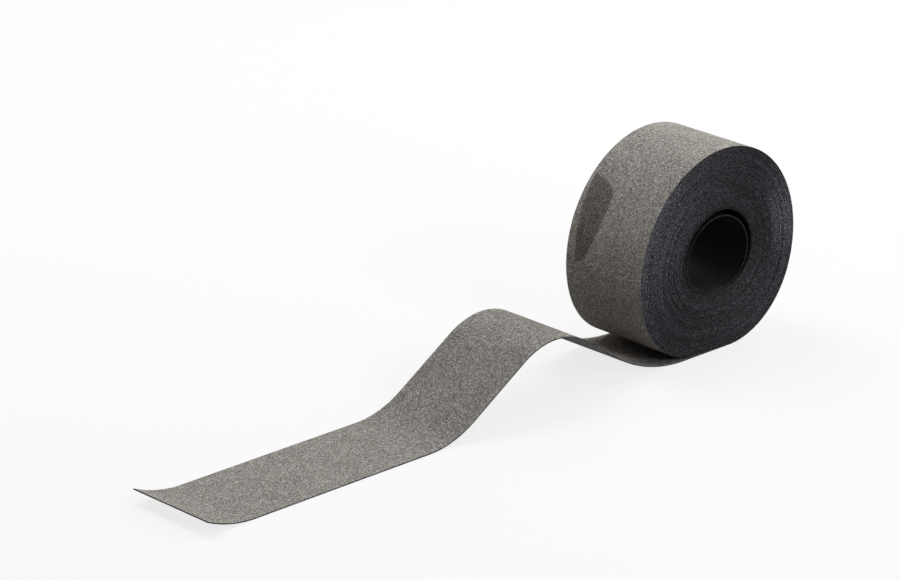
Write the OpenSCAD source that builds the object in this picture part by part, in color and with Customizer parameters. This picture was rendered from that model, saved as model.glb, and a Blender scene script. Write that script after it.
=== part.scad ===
// Roll of bitumen damp proof course: one long strip of sanded felt, wound up on itself and
// lying on its side, with the outer end pulled out along the floor.
// The roll's axis is parallel to Y, the pulled end runs towards -X and the floor is at Z = 0.

/* [Strip] */
// Width of the strip, which is also the length of the roll
strip_w = 100; // [50:5:300]
// Thickness of the strip with its sand finish
strip_t = 1.25; // [0.8:0.05:2]

/* [Roll] */
// Diameter of the roll where it is still round
roll_d = 230; // [200:5:400]
// Number of turns from the outside to the bore
turns = 38; // [10:1:40]
// Clearance between one turn and the next
slack = 0.45; // [0.2:0.05:0.6]
// How much lower the roll is than a round one, because the soft felt has sagged
sag = 18; // [10:0.5:20]
// Length of the flat that the outermost turn has sagged onto, from one shoulder to the other
flat_l = 48; // [40:1:60]
// How much shorter the flat of each turn is than that of the turn outside it
flat_step = 0.72; // [0:0.12:0.96]
// Depth to which the clearance shows on the ends of the roll
gap_depth = 0.8; // [0.4:0.1:2]
// How much smaller the loose innermost turn is, in radius, than the bore that it lies in
loose_in = 3; // [1.5:0.1:4]

/* [Pulled end] */
// Distance from below the roll's axis to where the strip lifts off the floor
lift_off = 57; // [30:1:150]
// Height of the hump's underside above the floor
hump_h = 70; // [40:1:150]
// Steepest slope on the roll's side of the hump
hump_rise = 28; // [10:1:45]
// Steepest slope on the far side of the hump
hump_fall = 32; // [10:1:45]
// Radius where the strip bends up off the floor
foot_r = 110; // [20:5:150]
// Radius over the top of the hump
crest_r = 68; // [20:1:150]
// Radius where the strip comes back down to the floor
toe_r = 95; // [20:5:150]
// Length that lies flat beyond the hump
lying_l = 230; // [50:5:1000]
// Radius of the curl that the strip keeps at its tip
tip_r = 140; // [50:5:400]
// Slope of the tip
tip_rise = 25; // [0:1:60]

/* [Hidden] */
$fn = 180;
felt = "#6c6a66";
roll_r = roll_d / 2;
// From the outside of one turn to the outside of the next
pitch = strip_t + slack;
// Radius of the innermost turn's inside
bore_r = roll_r - turns * pitch + slack;
// How far the loose turn is pressed into the bore's wall where it leans on it
seat = 0.4;
// The loose turn starts in its place at the bottom of the bore and leans over to -X
lean_down = loose_in - slack;
lean_left = sqrt(pow(loose_in + seat, 2) - pow(lean_down, 2));
// A cutting shape reaches this far past what it cuts
over = 1;
// This many times the way from a round part's centre to the shoulder's ends outside the roll
far = 12;
// The longest stretch of arc that is drawn as one flat facet on the pulled end
facet = 2.5;

// Each side of a turn has two centres: one on the roll's own axis, for the round part, and one for
// the shoulder, above the end of the flat. A shoulder's arc runs on smoothly from the round
// part's, so the line through their two centres also goes through the place where they meet.
// Further in, the flat is shorter and the shoulder rounder, so the bore is close to an oval.

// One side of a turn goes from its flat, round a shoulder, over to the top. The -X side's centres
// are half a pitch higher and its radii half a pitch smaller, so each turn comes down onto the
// inside of the one that it started from, and the turns are one spiral.
// Outer radius of the round part of the turn that has k turns outside it
function round_r(k) = roll_r - k * pitch;
// Half of that turn's flat
function half_flat(k) = (flat_l - k * flat_step) / 2;
// From the round part's centre to the shoulder's, where half of the flat is h
function centre_gap(h) = (h * h / sag + sag) / 2;
// Height of the round part's centre on a side that is raised by shift
function centre_z(shift) = roll_r - sag + shift;

// Everything inside one side of a turn, seen from the end. The round part has radius r, the side
// is raised by shift and half of its flat is h.
module side_area(r, shift, h) {
    to_shoulder = [h, sag - centre_gap(h)];
    outside = far * to_shoulder;
    translate([0, centre_z(shift)]) {
        intersection() {
            circle(r - shift);
            polygon([[0, 0], outside, [outside[0], roll_d], [0, roll_d]]);
        }
        translate(to_shoulder) intersection() {
            circle(r - shift - centre_gap(h));
            translate([0, -roll_d]) square(2 * roll_d);
        }
    }
    translate([0, roll_r - r + 2 * shift]) square([h, r]);
}

// Everything inside a spiral whose turn starts with radius r and half a flat of h
module spiral_area(r, h) {
    side_area(r, 0, h);
    mirror([1, 0]) side_area(r, pitch / 2, h);
}

// The clearance on one side between turn k and the turn outside it
module side_gap(k, shift) {
    difference() {
        side_area(round_r(k) + slack, shift, half_flat(k - 1));
        side_area(round_r(k), shift, half_flat(k));
    }
}

// The wound turns, drawn with the roll's axis along Z and one end at Z = 0
module coil() {
    difference() {
        linear_extrude(strip_w) spiral_area(round_r(0), half_flat(0));
        translate([0, 0, -over]) linear_extrude(strip_w + 2 * over)
            spiral_area(bore_r, half_flat(turns - 1));
        for (z = [-over, strip_w - gap_depth])
            translate([0, 0, z]) linear_extrude(gap_depth + over) for (k = [1 : turns - 1]) {
                side_gap(k, 0);
                mirror([1, 0]) side_gap(k, pitch / 2);
            }
    }
}

// The innermost turn, which has sprung off the bore's wall. It goes round from the bottom of the
// bore until it leans on the wall, and its free end is there.
module loose_turn() {
    loose_r = bore_r - loose_in;
    linear_extrude(strip_w) translate([-lean_left, -lean_down]) difference() {
        spiral_area(loose_r, half_flat(turns - 1));
        spiral_area(loose_r - strip_t, half_flat(turns - 1));
        translate([0, centre_z(0)]) polygon([[0, 0], -roll_d * [lean_left, lean_down], [0, -roll_d]]);
    }
}

// Straight stretch of slope between two bends that climb to hump_h between them
function slope_l(r1, r2, slope) = (hump_h - (r1 + r2) * (1 - cos(slope))) / sin(slope);

// The pulled end's stretches in order: [length, 0] is straight, and [radius of the underside,
// angle] bends up by that angle, or down where the angle is negative
pulled_end = [
    [lift_off, 0],
    [foot_r, hump_rise],
    [slope_l(foot_r, crest_r, hump_rise), 0],
    [crest_r, -hump_rise - hump_fall],
    [slope_l(crest_r, toe_r, hump_fall), 0],
    [toe_r, hump_fall],
    [lying_l, 0],
    [tip_r, tip_rise],
];

// The way along one stretch from its start, heading along X: [x, z, heading] after each facet
function along(size, bend) =
    bend == 0 ? [[size, 0, 0]] :
    let (steps = ceil(abs(bend) / facet), up = sign(bend))
    [for (i = [1 : steps]) let (a = bend * i / steps)
        [up * size * sin(a), up * size * (1 - cos(a)), a]];

// Places a list of such points at the point from, turned to its heading
function placed(from, points) = [for (p = points) [
    from[0] + p[0] * cos(from[2]) - p[1] * sin(from[2]),
    from[1] + p[0] * sin(from[2]) + p[1] * cos(from[2]),
    from[2] + p[2]]];

// All the points of the underside, each stretch starting where the last one ends
function underside(list, points = [[0, 0, 0]], i = 0) =
    i == len(list) ? points :
    underside(list, concat(points,
        placed(points[len(points) - 1], along(list[i][0], list[i][1]))), i + 1);

// The strip's section along those points, strip_t thick
module strip_section(points) {
    back = [for (i = [len(points) - 1 : -1 : 0]) points[i]];
    polygon(concat(
        [for (p = points) [p[0], p[1]]],
        [for (p = back) [p[0] - strip_t * sin(p[2]), p[1] + strip_t * cos(p[2])]]));
}

module dpc_strip() {
    color(felt) translate([0, strip_w / 2, 0]) rotate([90, 0, 0]) {
        coil();
        loose_turn();
        mirror([1, 0]) linear_extrude(strip_w) strip_section(underside(pulled_end));
    }
}

dpc_strip();
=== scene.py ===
# %% [markdown]
# # A roll of damp proof course
#
# Damp proof course is a strip of bitumen with sand rolled into both faces. It comes wound up on
# itself, and it is so soft that a roll that lies on its side sags onto a flat. This lesson winds
# one strip, gives it a finish of real grains of sand, and lights it on a pale floor.
#
# The strip is one piece of stock, so it is one mesh here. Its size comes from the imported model.

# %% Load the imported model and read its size
import math

import bmesh
import bpy
import numpy as np
from mathutils import Matrix, Vector


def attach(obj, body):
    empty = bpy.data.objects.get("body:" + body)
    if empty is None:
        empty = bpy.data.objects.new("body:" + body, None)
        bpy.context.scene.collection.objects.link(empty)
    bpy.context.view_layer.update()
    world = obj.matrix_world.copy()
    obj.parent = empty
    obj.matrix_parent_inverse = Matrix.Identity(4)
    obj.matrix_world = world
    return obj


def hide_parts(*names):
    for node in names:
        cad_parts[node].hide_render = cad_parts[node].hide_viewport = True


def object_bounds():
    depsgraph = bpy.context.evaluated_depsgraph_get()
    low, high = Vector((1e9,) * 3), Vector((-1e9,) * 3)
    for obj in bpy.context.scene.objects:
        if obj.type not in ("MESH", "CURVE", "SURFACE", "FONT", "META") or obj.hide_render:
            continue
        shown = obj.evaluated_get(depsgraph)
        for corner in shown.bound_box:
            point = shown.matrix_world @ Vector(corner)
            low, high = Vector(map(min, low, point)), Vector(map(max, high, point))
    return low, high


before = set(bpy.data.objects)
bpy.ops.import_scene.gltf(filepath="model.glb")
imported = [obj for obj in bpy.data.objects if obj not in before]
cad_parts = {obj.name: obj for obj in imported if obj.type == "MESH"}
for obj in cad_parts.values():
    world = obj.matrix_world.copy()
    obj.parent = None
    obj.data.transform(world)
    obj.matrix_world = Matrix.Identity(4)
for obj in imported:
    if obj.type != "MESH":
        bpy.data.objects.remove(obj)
cad_box = [list(corner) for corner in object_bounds()]
low, high = (Vector(corner) for corner in cad_box)
MM = 0.001
print("the model runs from", [round(x, 4) for x in low], "to", [round(x, 4) for x in high])

# %% [markdown]
# ## Where the strip runs
#
# From the end, the strip is one long line. Each place on it needs a point and a heading, and the
# rest follows: the thickness goes inwards from there, and the width goes straight across.
#
# The line could be drawn by hand as a curve object. It is worked out here instead, because a
# winding is a rule: every turn is the one outside it, moved in by the thickness and the
# clearance. The roll has sagged, so a turn isn't a circle. It is a round arc over the top, a
# tighter arc at each shoulder and a flat that lies on the floor. Towards the bore the flats get
# shorter and the shoulders rounder.

# %% The sizes that the winding follows
strip_w = high.y - low.y
strip_t = 1.25 * MM
clearance = 0.45 * MM
pitch = strip_t + clearance
turns = 38
flat_l, flat_step = 48 * MM, 0.72 * MM
roll_r = high.x
sag = 2 * roll_r - high.z
round_z = roll_r - sag
bore_r = roll_r - turns * pitch + clearance
print(f"{turns} turns round a bore of {2 * bore_r / MM:.0f} mm, sagged by {sag / MM:.0f} mm")


def half_flat(turn):
    """Half of a turn's flat. The turns are counted from the outside."""
    return (flat_l - flat_step * turn) / 2


def length_of(points):
    """How long the line through these points is."""
    return np.linalg.norm(np.diff(points, axis=0), axis=1).sum()


# %% One turn, as arcs: the centre and radius at each place
FLAT_STEPS, ROUND_STEPS = 5, 90
side_heading = np.append(np.zeros(FLAT_STEPS), np.linspace(0, math.pi, ROUND_STEPS + 1))
share_of_flat = np.minimum(np.arange(len(side_heading)) / FLAT_STEPS, 1)


def side_of_turn(radius, raised, flat):
    """Centre x, centre z and radius, from the bottom to the top of one side."""
    centre_gap = (flat**2 / sag + sag) / 2
    in_shoulder = side_heading < math.atan2(flat, centre_gap - sag)
    return np.stack([
        np.where(in_shoulder, flat * share_of_flat, 0),
        round_z + raised + np.where(in_shoulder, sag - centre_gap, 0),
        radius - raised - np.where(in_shoulder, centre_gap, 0),
    ], 1)


def whole_turn(radius, flat):
    """Both sides of a turn. The left side's centres are half a pitch higher and its radii as
    much smaller, which leads the turn down onto the inside of its own start."""
    right = side_of_turn(radius, 0, flat)
    left = side_of_turn(radius, pitch / 2, flat)[::-1] * [-1, 1, 1]
    return np.concatenate([right[:-1], left[:-1]])


turn_heading = np.concatenate([side_heading[:-1], 2 * math.pi - side_heading[:0:-1]])
PER_TURN = len(turn_heading)
print(PER_TURN, "places to a turn")


def run_round(arcs, heading):
    """The points on the arcs, and the way inwards at each."""
    inwards = np.stack([-np.sin(heading), np.cos(heading)], 1)
    return arcs[:, :2] - arcs[:, 2:] * inwards, inwards


# %% [markdown]
# ## The loose turn in the bore
#
# When the winding core is pulled out, the innermost turn springs off the wall. It is a little
# smaller than the bore, so it leans on the wall at one side and leaves a crescent of shadow at
# the other. It is one more turn of the same winding, moved over until it touches.

# %% The whole winding, from the bottom of the outside turn to the free end in the bore
wound_arcs = np.concatenate([whole_turn(roll_r - k * pitch, half_flat(k)) for k in range(turns)])
wound, _ = run_round(wound_arcs, np.tile(turn_heading, turns))
wound_places = len(wound)

loose_in = 3.0 * MM
PRESS = 0.05 * MM
lean_down = loose_in - clearance
lean_left = math.sqrt((loose_in + PRESS)**2 - lean_down**2)
loose, _ = run_round(whole_turn(bore_r - loose_in, half_flat(turns - 1)), turn_heading)
gone_round = np.arctan2(loose[:, 0], round_z - loose[:, 1]) % (2 * math.pi)
starts = np.argmax(loose[:, 0] > lean_left)
ends = np.argmax(gone_round > 2 * math.pi - math.atan2(lean_left, lean_down))
loose = loose[starts:ends] - [lean_left, lean_down]
winding = np.concatenate([wound, loose])
winding_heading = np.append(np.tile(turn_heading, turns), turn_heading[starts:ends])
print(f"the winding is {length_of(winding):.2f} m long")

# %% [markdown]
# ## The pulled end
#
# The outside end has been drawn out along the floor. It lifts over a hump, because the strip is
# stiff enough to keep some of the roll's bend, and its tip still curls up. A drawn curve could
# follow it by eye. Straight stretches and bends are easier to keep smooth, because each one
# starts where the last one ends, at the same heading.

# %% Walk along the straight stretches and bends
PLACE_GAP = 3 * MM
lift_off, hump_h, lying_l = 43.5 * MM, 71 * MM, 219 * MM
rise, fall, tip_rise = (math.radians(a) for a in (32.4, 32.2, 25))
foot_r, crest_r, toe_r, tip_r = (r * MM for r in (189, 78, 111, 140))


def slope_length(first_r, second_r, slope):
    """The straight between two bends that climb to the hump's height between them."""
    return (hump_h - (first_r + second_r) * (1 - math.cos(slope))) / math.sin(slope)


# Each is a length and no bend, or a radius and the angle that it bends up by.
stretches = [
    (lift_off, 0),
    (foot_r, rise),
    (slope_length(foot_r, crest_r, rise), 0),
    (crest_r, -rise - fall),
    (slope_length(crest_r, toe_r, fall), 0),
    (toe_r, fall),
    (lying_l, 0),
    (tip_r, tip_rise),
]


def walk(stretches):
    """Points and headings along the underside, out from below the roll."""
    point, slope = np.zeros(2), 0.0
    points, slopes = [point], [slope]
    for size, bend in stretches:
        length = size * abs(bend) if bend else size
        steps = math.ceil(length / PLACE_GAP)
        for _ in range(steps):
            middle = slope + bend / steps / 2
            point = point + length / steps * np.array([math.cos(middle), math.sin(middle)])
            slope = slope + bend / steps
            points.append(point)
            slopes.append(slope)
    return np.array(points), np.array(slopes)


points, slopes = walk(stretches)
pulled = (points * [-1, 1])[:0:-1]
pulled_heading = -slopes[:0:-1]
print(f"pulled out {length_of(points):.2f} m, tip at {pulled[0].round(4)}")

# %% Join the two into one line from the tip to the free end in the bore
line = np.concatenate([pulled, winding])
heading = np.append(pulled_heading, winding_heading)
inwards = np.stack([-np.sin(heading), np.cos(heading)], 1)
along = np.append(0, np.cumsum(np.linalg.norm(np.diff(line, axis=0), axis=1)))
START = len(pulled)
END_WOUND = START + wound_places
LAST = len(line) - 1
print(f"the whole strip is {along[-1]:.1f} m long")

# %% [markdown]
# ## What makes it look wound by a machine that isn't perfect
#
# On a real roll no two turns are level. The strip wanders a little from side to side as it is
# wound, its thickness varies with the sand on it, and the knife leaves a ragged edge. Each of
# these is a smooth random line along the strip, or a random step at each place.

# %% Smooth random lines along the strip
# A wave is in metres. The strip's middle wanders sideways, and its thickness and tone vary.
dice = np.random.default_rng(7)
# Two throws added spread this much wider than one.
TWO_THROWS = 1.4


def wander(wave, size):
    """A random line along the strip, at most size from 0, that turns after about one wave."""
    marks = np.arange(0, along[-1] + 2 * wave, wave)
    values = dice.normal(0, 1, len(marks))
    nearby = np.interp(along, marks, values) + np.interp(along + wave / 2, marks, values)
    return size * np.clip(nearby / TWO_THROWS, -2, 2) / 2


RAGGED = 0.09 * MM
sideways = wander(wave=0.33, size=0.30 * MM) + wander(wave=0.06, size=0.12 * MM)
thick = strip_t + wander(wave=0.21, size=0.16 * MM)
tone = wander(wave=0.17, size=1.0)
inner = line + thick[:, None] * inwards
ragged = dice.uniform(-RAGGED, 0.0, (2, 3, len(line)))
print(f"the edges wander by {np.ptp(sideways) / MM:.2f} mm")

# %% Where the ends of the roll have been rubbed
# A place is known by its turn, counted from the outside, and by how far round it is from below.
place_number = np.arange(len(line))
turn = np.clip((place_number - START) / PER_TURN, 0, turns)
around = np.degrees(np.arctan2(line[:, 0], round_z - line[:, 1])) % 360


def lobe(centre, width):
    """1 at that many degrees round the roll, and a smooth fall to 0 on both sides."""
    return np.exp(-((around - centre + 180) % 360 - 180)**2 / width**2)


def fade(value, start, end):
    """1 before start and 0 after end."""
    return np.interp(value, (start, end), (1, 0))


# Three places have been rubbed: how much, round which angle, how far from it in degrees, and how
# much of that is left further in.
RUBS = [
    (0.95, 104, 22, fade(turn, 16, 20)),
    (0.95, 246, 46, 1 - turn / 45),
    (0.32, 50, 32, 1 - turn / 60),
]
# Faint rings run all the way round. They are waves, each with its own rate inwards, number of
# times round and start. The turns next to the bore have kept their black.
WAVES, WAVES_TOGETHER = 14, 5
RING_DEPTH, EVERYWHERE, MOST = 0.13, 0.08, 1.1
BLACK, HALF_WORN = -0.15, 0.5
waves = dice.uniform((0.35, 0, 0), (1.6, 4, 2 * math.pi), (WAVES, 3))
rings = sum(np.cos(k * turn + round(q) * np.radians(around) + p) for k, q, p in waves)
rubbed = sum(much * lobe(centre, width) * left for much, centre, width, left in RUBS)
rubbed = np.clip(rubbed + EVERYWHERE + RING_DEPTH * (rings / WAVES_TOGETHER), 0, MOST)
outside = fade(turn, 35.4, 36.4)
rubbed = rubbed * outside + BLACK * (1 - outside)
rubbed[:START] = HALF_WORN
print(f"{(rubbed > 0.5).mean():.0%} of the cut edge has been rubbed")

# %% [markdown]
# ## A sheet for the finish
#
# Another program can't read a finish that is made of nodes. It gets the finish painted on one
# square picture, so every face needs a place on that picture. Blender can lay a mesh out by
# itself, but it would leave three quarters of the picture empty here. A strip is easy to lay out:
# its faces are long bands, and each end of the roll lies there as it is seen from the side. The
# ends have the finest pattern, so they are enlarged, and the dark bore is made smaller.

# %% Where each kind of face begins on the sheet, from the bottom up, in metres
# Three bands of full size, one smaller one for the bore, the pulled end's two thin edges, and
# the roll's two ends side by side.
SHEET_GAP = 4 * MM
END_SIZE, BORE_SIZE, RIM_SIZE = 1.4, 0.5, 3.0
band_level = [SHEET_GAP + k * (strip_w + SHEET_GAP) for k in range(3)]
bore_level = SHEET_GAP + 3 * (strip_w + SHEET_GAP)
rim_level = [bore_level + BORE_SIZE * strip_w + k * 2 * SHEET_GAP for k in (1, 2)]
ends_level = bore_level + BORE_SIZE * strip_w + 3 * 2 * SHEET_GAP


# %% Ways to lay faces out on the sheet
# Each gives a rule, which takes how far along, across and into the strip a point is and the
# point's own x and z, and returns the point's place on the sheet.
def band(first, level, left=SHEET_GAP, size=1.0):
    """The strip as it would lie unrolled, from that place on it."""
    return lambda far, wide, deep, x, z: (left + size * (far - along[first]), level + size * wide)


def rim(level):
    """The pulled end's long edge."""
    return lambda far, wide, deep, x, z: (SHEET_GAP + far, level + RIM_SIZE * deep)


def side_view(left, facing):
    """An end of the roll, seen from the side."""
    return lambda far, wide, deep, x, z: (
        left + END_SIZE * (roll_r + facing * x), ends_level + END_SIZE * z)


def short_end(left):
    """The face where the strip was cut off."""
    return lambda far, wide, deep, x, z: (left + RIM_SIZE * deep, bore_level + BORE_SIZE * wide)


# %% [markdown]
# ## The mesh
#
# Every place on the line gets a ring of points round the strip: across its outer face, over one
# edge, back across its inner face and over the other edge. Joining each ring to the next would
# make the whole strip, but the faces between the turns can't be seen, and there are 19 metres
# of them. So the wound part keeps only its edges. Neighbouring turns meet in a narrow V just
# below the surface, and painted shade on the V's flanks makes it as dark as the real gap.
#
# Each row of points runs along the strip, so a surface is a few rows with faces between them.

# %% Rows of points, and the faces between them
SANDED, CUT = 0, 1
rows_made, row_values, row_places = [], [], []
faces, finish_of, spots = [], [], []


def add(own, y, bare, places=slice(None)):
    """Adds a row of points and returns their numbers. The third argument is 1 where near-black
    bitumen shows in place of sand; in the bore, on the V's flanks and near the roll that is
    painted shade.
    """
    x_z = own[places]
    first = sum(len(row) for row in rows_made)
    level = np.broadcast_to(y, len(own))[places]
    rows_made.append(np.stack([x_z[:, 0], level, x_z[:, 1]], 1))
    row_values.append(np.stack([bare[places], tone[places], rubbed[places]], 1))
    row_places.append(place_number[places])
    return np.arange(first, first + len(x_z))


def add_faces(corners, finish, lay):
    """Faces with these point numbers at their corners, laid out on the sheet in that way."""
    x, y, z = np.concatenate(rows_made)[corners.ravel()].T
    place = np.concatenate(row_places)[corners.ravel()]
    deep = ((np.stack([x, z], 1) - line[place]) * inwards[place]).sum(1)
    spots.append(np.stack(lay(along[place], y + strip_w / 2, deep, x, z), 1))
    faces.extend(corners.tolist())
    finish_of.extend([finish] * len(corners))


def skin(rows, finish, lay, places=slice(None)):
    """Faces between each row of point numbers and the next."""
    grid = np.stack(rows)[:, places]
    square = np.stack([grid[:-1, :-1], grid[1:, :-1], grid[1:, 1:], grid[:-1, 1:]], -1)
    add_faces(square.reshape(-1, 4), finish, lay)


# %% The V between neighbouring turns, halfway from one turn's inside to the next one's outside
# The outer face shows up to the place OUT, one turn in, and the bore's wall begins at WALL.
OUT, WALL = START + PER_TURN, END_WOUND - PER_TURN
EDGE_IN = 0.22 * MM
V_DEPTH = 2.0 * MM
half_w = strip_w / 2 - np.abs(sideways).max()
v_line = (inner[START:WALL + 1] + line[OUT:END_WOUND + 1]) / 2
print("each V is", round(V_DEPTH / MM, 1), "mm deep")


def with_v(own, first):
    """A line that keeps to the strip's own face, except for the stretch that lies in a V."""
    own = own.copy()
    own[first:first + len(v_line)] = v_line
    return own


# The winding presses the inner face, so a little more bitumen shows there.
PRESSED = 0.07
outer_foot = with_v(line, OUT)
inner_foot = with_v(inner, START)
# In the bore and on the loose turn these are 1: near-black bitumen painted there as shade.
outer_shade_in_bore = (place_number >= END_WOUND) * 1.0
inner_pressed_or_bore_shade = np.where(place_number >= WALL, 1.0, PRESSED)

# Down in the V the flanks get near-black bitumen in place of sand: painted shade in the gap
# between turns.
FLANK_SHADE = 0.95
outer_flank_shade = np.where(place_number >= OUT, np.maximum(outer_shade_in_bore, FLANK_SHADE), outer_shade_in_bore)
inner_flank_shade = np.where(place_number >= START, np.maximum(inner_pressed_or_bore_shade, FLANK_SHADE), inner_pressed_or_bore_shade)

# %% The faces that show: outside and inside of the pulled end, the roll, the bore, the loose turn
COLUMNS = 15
# How much near-black is painted as shade on the strip's inner face near the roll.
PAINTED_SHADE_NEAR_ROLL = 0.6
across = np.linspace(-1, 1, COLUMNS) * (half_w - V_DEPTH)


def face(own, bare, first, last, painted_shade=0.0):
    """A face of the strip from one place to another, as a row of points for each column. The last
    argument is how much near-black bitumen is painted on the front edge as shade, fading to none
    at the back edge."""
    places = slice(first, last + 1)
    return [add(own, y, np.maximum(bare, painted_shade * (0.5 - y / strip_w)), places) for y in across]


# Near the roll, near-black bitumen is painted on the inner face in place of sand, most at the
# front edge: painted shade where the strip runs under and beside the roll.
NEAR_ROLL, UP_THE_HUMP = 90 * MM, 190 * MM
shade_near_roll = PAINTED_SHADE_NEAR_ROLL * fade(-line[:, 0], NEAR_ROLL, UP_THE_HUMP)

# %% Lay those faces out in their bands
outer_faces = [
    face(outer_foot, outer_shade_in_bore, 0, OUT),
    face(outer_foot, outer_shade_in_bore, END_WOUND, LAST),
]
inner_faces = [
    face(inner_foot, inner_pressed_or_bore_shade, 0, START, shade_near_roll),
    face(inner_foot, inner_pressed_or_bore_shade, WALL, LAST),
]
loose_left = 2 * SHEET_GAP + BORE_SIZE * (along[LAST] - along[WALL])
pulled_outside, roll_outside = band(0, band_level[0]), band(START, band_level[1])
pulled_inside = band(0, band_level[2])
bore_inside = band(WALL, bore_level, size=BORE_SIZE)
loose_outside = band(END_WOUND, bore_level, loose_left, BORE_SIZE)
skin(outer_faces[0], SANDED, pulled_outside, slice(0, START + 1))
skin(outer_faces[0], SANDED, roll_outside, slice(START, None))
skin(outer_faces[1], SANDED, loose_outside)
skin(inner_faces[0], SANDED, pulled_inside)
skin(inner_faces[1], SANDED, bore_inside)
print(len(faces), "faces across the strip")

# %% The edges: out of the V, over the crown and down into the next V
edges = []
for side, rough in zip((-1, 1), ragged):
    crown = side * half_w + sideways
    foot = side * (half_w - V_DEPTH)
    edges.append([
        add(outer_foot, foot, outer_flank_shade),
        add(line, crown - side * (EDGE_IN - rough[0]), outer_flank_shade),
        add((line + inner) / 2, crown + side * rough[1], outer_flank_shade),
        add(inner, crown - side * (EDGE_IN - rough[2]), inner_flank_shade),
        add(inner_foot, foot, inner_flank_shade),
    ])
sides = [side_view(SHEET_GAP, 1), side_view(2 * SHEET_GAP + END_SIZE * 2 * roll_r, -1)]
for rows, level, seen in zip(edges, rim_level, sides):
    skin(rows[:2], SANDED, pulled_outside, slice(0, START + 1))
    skin(rows[:2], SANDED, roll_outside, slice(START, OUT + 1))
    skin(rows[:2], SANDED, seen, slice(OUT, END_WOUND + 1))
    skin(rows[:2], SANDED, loose_outside, slice(END_WOUND, None))
    skin(rows[1:4], CUT, rim(level), slice(0, START + 1))
    skin(rows[1:4], CUT, seen, slice(START, None))
    skin(rows[3:], SANDED, pulled_inside, slice(0, START + 1))
    skin(rows[3:], SANDED, seen, slice(START, WALL + 1))
    skin(rows[3:], SANDED, bore_inside, slice(WALL, None))
print(len(faces), "faces with the edges")


# %% Close the strip's two ends
def close_end(outer_columns, inner_columns, place, lay):
    """The face across an end, and a small one where it meets each edge."""
    ends = [[column[place] for column in columns] for columns in (outer_columns, inner_columns)]
    skin(ends, CUT, lay)
    for rows in edges:
        add_faces(np.array([[row[place] for row in rows]]), CUT, lay)


short_left = loose_left + BORE_SIZE * (along[LAST] - along[END_WOUND]) + SHEET_GAP
close_end(outer_faces[0], inner_faces[0], 0, short_end(short_left))
close_end(outer_faces[-1], inner_faces[-1], -1, short_end(short_left + 3 * SHEET_GAP))
spots = np.concatenate(spots)
sheet_size = spots.max(0) + SHEET_GAP
print("the sheet is", (sheet_size / MM).round(), "mm")

# %% Make the mesh, weld the rows where they meet and turn every face outwards
SHEET_NAME = "OFBake"
WELD = 0.001 * MM
CORNER = math.radians(40)
mesh = bpy.data.meshes.new("dpc_strip_felt")
mesh.from_pydata(np.concatenate(rows_made).tolist(), [], faces)
mesh.polygons.foreach_set("material_index", finish_of)
for name, values in zip(("bare", "tone", "rubbed"), np.concatenate(row_values).T):
    mesh.attributes.new(name, "FLOAT", "POINT").data.foreach_set("value", values.copy())
layout = mesh.uv_layers.new(name=SHEET_NAME)
layout.uv.foreach_set("vector", (spots / sheet_size).ravel())
shape = bmesh.new()
shape.from_mesh(mesh)
bmesh.ops.remove_doubles(shape, verts=shape.verts, dist=WELD)
bmesh.ops.recalc_face_normals(shape, faces=shape.faces)
open_edges = sum(not e.is_manifold for e in shape.edges)
shape.to_mesh(mesh)
print(f"{len(mesh.vertices)} points, {len(mesh.polygons)} faces, {open_edges} open edges")
print(f"it holds {shape.calc_volume() * 1e6:.0f} cubic centimetres")
shape.free()

strip = bpy.data.objects.new("dpc_strip_felt", mesh)
bpy.context.scene.collection.objects.link(strip)
mesh.shade_smooth()
mesh.set_sharp_from_angle(angle=CORNER)

# %% [markdown]
# ## Writing shader maths as sums
#
# A finish is a network of nodes, and most of them only add or multiply. A small class can stand
# for a socket, so that `1 - mask` adds the node that takes the mask from one. Colours go through
# Mix nodes, because a Math node would turn them grey.

# %% A socket that sums can be written with
class Wire:
    """Stands for the socket of a node that gives a value."""

    def __init__(self, socket):
        self.socket = socket

    def node(self, kind, settings=None, inputs=None, output=0):
        """Adds a node: first its settings, then the values or wires of its sockets."""
        made = self.socket.id_data.nodes.new("ShaderNode" + kind)
        for name, value in (settings or {}).items():
            if name == "stops":
                set_stops(made.color_ramp, value)
            else:
                setattr(made, name, value)
        for name, value in (inputs or {}).items():
            feed(made.inputs[name], value)
        return Wire(made.outputs[output])

    def also(self, name):
        """Another output of the same node."""
        return Wire(self.socket.node.outputs[name])

    def maths(self, operation, *values):
        return self.node("Math", {"operation": operation}, dict(enumerate(values)))

    def __add__(self, other):
        return self.maths("ADD", self, other)

    def __sub__(self, other):
        return self.maths("SUBTRACT", self, other)

    def __rsub__(self, other):
        return self.maths("SUBTRACT", other, self)

    def __mul__(self, other):
        return self.maths("MULTIPLY", self, other)

    def __truediv__(self, other):
        return self.maths("DIVIDE", self, other)

    __radd__ = __add__
    __rmul__ = __mul__


def feed(socket, value):
    """Links a wire to a socket, or sets the socket's own value."""
    if isinstance(value, Wire):
        socket.id_data.links.new(value.socket, socket)
    else:
        socket.default_value = value


def set_stops(ramp, stops):
    """Sets a ramp's colours: (place, colour) from the left."""
    while len(ramp.elements) < len(stops):
        ramp.elements.new(1)
    for element, (place, colour) in zip(ramp.elements, stops):
        element.position = place
        element.color = (*colour, 1)


def mix(mask, first, second):
    """The first colour where the mask is 0 and the second where it is 1."""
    return mask.node("Mix", {"data_type": "RGBA"}, {0: mask, 6: first, 7: second}, 2)


def tint(colour, shade):
    """A colour made lighter or darker by a wire of numbers."""
    return shade.node("VectorMath", {"operation": "SCALE"}, {0: colour, "Scale": shade})


def smooth_step(value, start, end):
    """0 below start, 1 above end and a smooth curve between."""
    limits = {"Value": value, "From Min": start, "From Max": end}
    return value.node("MapRange", {"interpolation_type": "SMOOTHSTEP"}, limits)


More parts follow.
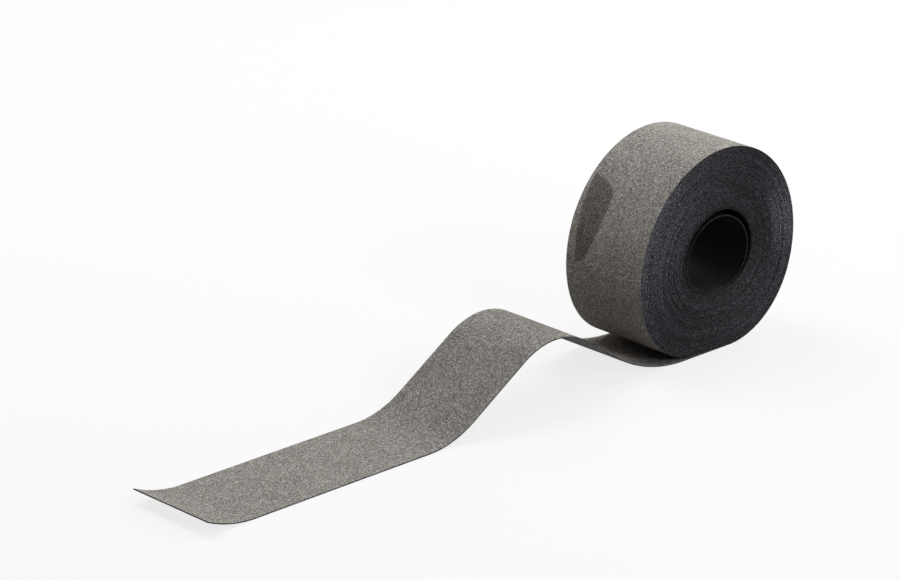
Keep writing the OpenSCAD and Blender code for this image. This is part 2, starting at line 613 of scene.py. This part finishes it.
# %% Begin a finish, and end it
def begin(name):
    """A new material, and a wire that holds the place on the object in metres."""
    material = bpy.data.materials.new(name)
    material.use_nodes = True
    place = material.node_tree.nodes.new("ShaderNodeTexCoord").outputs["Object"]
    return material, Wire(place)


# Felt and bitumen hardly shine.
SHINE = 0.05


def finish_with(material, colour, roughness, height, depth):
    """Feeds the surface's colour, roughness and relief. Depth is the relief's height in metres."""
    surface = material.node_tree.nodes["Principled BSDF"]
    bump = height.node("Bump", {}, {"Distance": depth, "Height": height, "Strength": 1.0})
    feed(surface.inputs["Base Color"], colour)
    feed(surface.inputs["Roughness"], roughness)
    feed(surface.inputs["Normal"], bump)
    feed(surface.inputs["Specular IOR Level"], SHINE)


# %% [markdown]
# ## The sanded faces
#
# Bitumen sticks to itself, so the strip is rolled in dry sand while it is hot. What shows is the
# sand: grains of quartz in grey, buff, brown and near white, with black bitumen between them. A
# picture of sand would repeat along the strip. A cell pattern gives each grain its own colour and
# its own dome, at any distance.
#
# In the bore, near-black bare bitumen is painted in place of the sand as shade, paler low down
# in patches. Outside, one place shaped like half an oval has taken hardly any sand.

# %% Grains of sand
# The colours of the grains, from a cell number of 0 to one of 1.
GRAIN = 0.62 * MM
CLUMP = 1.5 * MM
SAND = [
    (0.00, (0.07, 0.07, 0.06)),
    (0.12, (0.14, 0.13, 0.12)),
    (0.26, (0.25, 0.235, 0.22)),
    (0.42, (0.36, 0.33, 0.29)),
    (0.56, (0.305, 0.31, 0.315)),
    (0.68, (0.48, 0.46, 0.42)),
    (0.84, (0.39, 0.295, 0.245)),
    (0.88, (0.80, 0.78, 0.73)),
]


def attribute(place, name):
    """One of the numbers that the mesh carries at its points."""
    return place.node("Attribute", {"attribute_name": name}, {}, "Fac")


def cells(place, size):
    """A cell pattern: how far a point is from its cell's middle, and the cell's own number."""
    distance = place.node("TexVoronoi", {}, {"Vector": place, "Scale": 1 / size}, "Distance")
    number = distance.also("Color").node("SeparateColor", {}, {"Color": distance.also("Color")})
    return distance, number


def patches(place, size, detail=2.0):
    """A soft random pattern of about that size."""
    return place.node("TexNoise", {}, {"Vector": place, "Scale": 1 / size, "Detail": detail})


# %% The bare place, worked out from how far round the roll and how far across the strip it is
# It is half of an oval that is fuller at the top. Its straight side is near the roll's far edge.
BARE_ROUND, BARE_SIDE = math.radians(67), 40.5 * MM
BARE_LONG, BARE_WIDE = 46 * MM, 27.5 * MM
BARE_LEAN, BARE_FULLER = 4 * MM, 0.45
BARE_EDGE, UNEVEN = 2 * MM, 0.08
# The pulled end is lower than this, so the bare place is on the roll alone.
ABOVE_HUMP = 80 * MM, 85 * MM


def bare_place(place):
    """1 where hardly any sand has stuck and 0 round it, with a soft edge."""
    x, y, z = (place.node("SeparateXYZ", {}, {"Vector": place}, i) for i in range(3))
    turned = x.maths("ARCTAN2", 0 - x, z - round_z)
    down = (turned - BARE_ROUND) * (roll_r / BARE_LONG)
    wobble = patches(place, 5 * MM) - 0.5
    side = y + BARE_LEAN * down + BARE_EDGE * wobble
    aside = (BARE_SIDE - side) / (BARE_WIDE * (1 - BARE_FULLER * down))
    ends = down.maths("POWER", down.maths("ABSOLUTE", down), 3)
    distance = down.maths("SQRT", ends + aside * aside) + UNEVEN * wobble
    inside = (1 - smooth_step(distance, 0.95, 1.03)) * smooth_step(z, *ABOVE_HUMP)
    return inside * (1 - smooth_step(side, BARE_SIDE, BARE_SIDE + BARE_EDGE))


# %% Near-black bitumen: painted shade in the bore, on the V's flanks and near the roll
BITUMEN_OR_SHADE, STRAY = (0.005, 0.005, 0.005, 1), (0.010, 0.0098, 0.0095, 1)
PALER_LOW = 2.0
PALER_FROM, PALER_FULL = 78 * MM, 66 * MM


def bitumen_or_painted_shade(place, number):
    """Nearly black, with stray grains, and paler low down, in patches. It is painted shade in the
    bore, on the V's flanks and near the roll, and bitumen where the inner face is pressed.
    """
    height = place.node("SeparateXYZ", {}, {"Vector": place}, "Z")
    low_down = smooth_step(height, PALER_FROM, PALER_FULL)
    paler = low_down * (0.4 + 1.2 * patches(place, 7 * MM))
    return tint(mix(number, BITUMEN_OR_SHADE, STRAY), 1 + PALER_LOW * paler)


# %% The sanded finish
BARE_DARKER = 0.50
DULL, LESS_DULL = 0.92, 0.12
LEVELLED = 0.7
SAND_DEPTH = 0.14 * MM


def sanded_felt():
    material, place = begin("sanded_felt")
    dome, number = cells(place, GRAIN)
    sand = number.node("ValToRGB", {"stops": SAND}, {"Fac": number})
    _, clump = cells(place, CLUMP)
    cover = patches(place, 22 * MM)
    shade = 0.77 + 0.30 * clump + 0.30 * (cover - 0.5) + 0.03 * attribute(place, "tone")
    shade = shade * (1 - BARE_DARKER * bare_place(place))
    bare = attribute(place, "bare")
    # Where this is high, the near-black colour is painted shade: in the bore, down the V's flanks
    # and near the roll.
    colour = mix(bare, tint(sand, shade), bitumen_or_painted_shade(place, number))
    relief = (1 - dome) * (1 - LEVELLED * bare)
    finish_with(material, colour, DULL - LESS_DULL * bare, relief, SAND_DEPTH)
    return material


# %% [markdown]
# ## The cut edges
#
# The knife shows the black bitumen in the middle of the strip, with the grains that it met on
# its way. Side by side, 38 edges look like dark stone, lighter where the ends have been rubbed.
# One dark colour would hide the turns. The same cell pattern in darker, bluer greys keeps them,
# and the rubbing comes from the numbers that the mesh carries.

# %% Cut bitumen
CUT_ROUGHNESS, CUT_DEPTH = 0.7, 0.15 * MM
EDGE = [
    (0.00, (0.034, 0.034, 0.040)),
    (0.40, (0.059, 0.059, 0.068)),
    (0.62, (0.108, 0.108, 0.125)),
    (0.80, (0.186, 0.187, 0.214)),
    (0.92, (0.370, 0.375, 0.418)),
]


def cut_bitumen():
    material, place = begin("cut_bitumen")
    dome, number = cells(place, GRAIN)
    grains = number.node("ValToRGB", {"stops": EDGE}, {"Fac": number})
    smear = patches(place, 9 * MM)
    shade = 0.33 + 0.79 * attribute(place, "rubbed") + 0.2 * (smear - 0.5)
    finish_with(material, tint(grains, shade), CUT_ROUGHNESS, 1 - dome, CUT_DEPTH)
    return material


for material in (sanded_felt(), cut_bitumen()):
    mesh.materials.append(material)
print("finishes:", [m.name for m in mesh.materials])

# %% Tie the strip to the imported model
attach(strip, "root")
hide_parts("dpc_strip")

# %% [markdown]
# ## Floor, lights and camera
#
# The floor is nearly white to the camera, so that the roll stands out, and a middle grey to
# everything else, so that it throws little light up at the roll. A fifth of what the camera sees
# is a matt surface, which keeps the roll's shadow. One strong lamp would do for the roll alone,
# but felt is so dull that its shape only shows in how the light falls off. So four soft lamps
# hang round it: one overhead and a little behind, one low on the right, a weaker one in front and
# a weak one low behind. The last two also reach into the narrow place between the roll and the
# strip. A very weak even light comes from all round.

# %% The floor
def sees_white(nodes_of):
    """1 for the camera, and for what it sees in a mirror or through glass."""
    path = Wire(nodes_of.nodes.new("ShaderNodeLightPath").outputs["Is Camera Ray"])
    return path.maths("MAXIMUM", path.maths("MAXIMUM", path, path.also("Is Glossy Ray")),
                      path.also("Is Transmission Ray"))


FLOOR_SIZE = 24
FLOOR_GAP = 0.2 * MM
WHITE, PALE, GREY = ((shade, shade, shade, 1) for shade in (1, 0.9, 0.42))
GLOW_SHARE = 0.8
bpy.ops.mesh.primitive_plane_add(size=FLOOR_SIZE, location=(0, 0, low.z - FLOOR_GAP))
floor = bpy.context.object
floor.name = "floor"
pale = bpy.data.materials.new("pale_floor")
pale.use_nodes = True
tree = pale.node_tree
tree.nodes.remove(tree.nodes["Principled BSDF"])
white = sees_white(tree)
matt = white.node("BsdfDiffuse", {}, {"Color": mix(white, GREY, PALE)}, "BSDF")
glow = white.node("Emission", {}, {"Color": WHITE, "Strength": 1.0}, "Emission")
blend = white.node("MixShader", {}, {0: GLOW_SHARE * white, 1: matt, 2: glow})
feed(tree.nodes["Material Output"].inputs["Surface"], blend)
floor.data.materials.append(pale)

# %% The even light from all round
world = bpy.data.worlds.new("studio")
bpy.context.scene.world = world
world.use_nodes = True
sky = world.node_tree.nodes["Background"]
seen = sees_white(world.node_tree)
AROUND = 0.04
feed(sky.inputs["Strength"], AROUND + (1 - AROUND) * seen)
feed(sky.inputs["Color"], WHITE)


# %% The four soft lamps
def soft_light(name, place, aim, size, watts):
    """A round lamp of that size in metres, turned to what it aims at."""
    light = bpy.data.lights.new(name, "AREA")
    light.shape = "DISK"
    light.size = size
    light.energy = watts
    lamp = bpy.data.objects.new(name, light)
    lamp.location = place
    lamp.rotation_euler = (Vector(place) - Vector(aim)).to_track_quat("Z", "Y").to_euler()
    bpy.context.scene.collection.objects.link(lamp)


middle = (low + high) / 2
soft_light("overhead", middle + Vector((0, 1.33, 2.30)), middle, 2.0, 38.5)
soft_light("right", middle + Vector((2.34, 0, 1.24)), middle, 2.0, 46)
soft_light("front", middle + Vector((0, -2.25, 1.40)), middle, 1.2, 24)
soft_light("behind", middle + Vector((0, 2.52, 0.55)), middle, 1.2, 12)

# %% The camera, a long lens from the front left, held a little askew
azimuth, elevation, roll = (math.radians(a) for a in (46.16, 20.55, 1.8))
level_part = math.cos(elevation)
away = Vector((
    -math.sin(azimuth) * level_part,
    -math.cos(azimuth) * level_part,
    math.sin(elevation),
))
lens = bpy.data.cameras.new("camera")
lens.lens = 160
lens.sensor_width = 36
camera = bpy.data.objects.new("camera", lens)
camera.location = (-2.856, -2.427, 1.445)
upright = away.to_track_quat("Z", "Y").to_matrix()
camera.rotation_euler = (upright @ Matrix.Rotation(roll, 3, "Z")).to_euler()
bpy.context.scene.collection.objects.link(camera)
bpy.context.scene.camera = camera
bpy.context.scene.view_settings.view_transform = "Standard"
